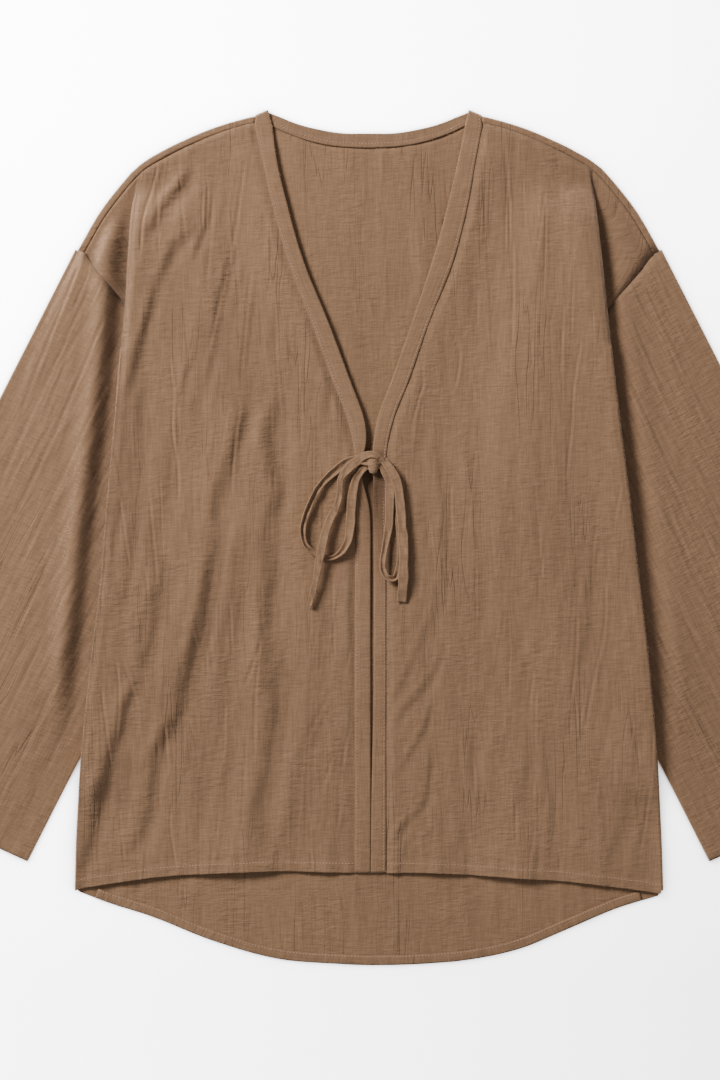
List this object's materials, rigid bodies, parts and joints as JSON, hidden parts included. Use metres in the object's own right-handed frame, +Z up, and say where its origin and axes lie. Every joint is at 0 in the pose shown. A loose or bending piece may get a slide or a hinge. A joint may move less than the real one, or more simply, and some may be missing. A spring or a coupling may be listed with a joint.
{
  "type": "kimono jacket",
  "caption": "Open-fronted kimono-style jacket in brown crinkled cloth, laid flat with wide sleeves swung in and a narrow tie in a bow.",
  "frame": {"origin": "centre of the garment's box, on the surface it lies on", "axes": "+Z up from the surface, towards the front of the garment; +Y towards the neck; +X towards the sleeve on the picture's right"},
  "size_m": [0.989, 0.769, 0.0127],
  "materials": {
    "cloth": "matt crinkled cloth, the outside",
    "cloth_inside": "matt crinkled cloth, the inside",
    "band": "matt cloth folded double and topstitched",
    "tie": "matt cloth strip"
  },
  "bodies": {
    "root": {"back_panel": "cloth_inside", "front_left": "cloth", "front_right": "cloth", "sleeve_left": "cloth", "sleeve_right": "cloth", "band_left": "band", "band_right": "band", "band_neck": "band", "hem_turn_up": "cloth_inside", "loop_left": "tie", "loop_right": "tie", "tail_left": "tie", "tail_right": "tie", "tie_knot": "tie"}
  },
  "joints": []
}
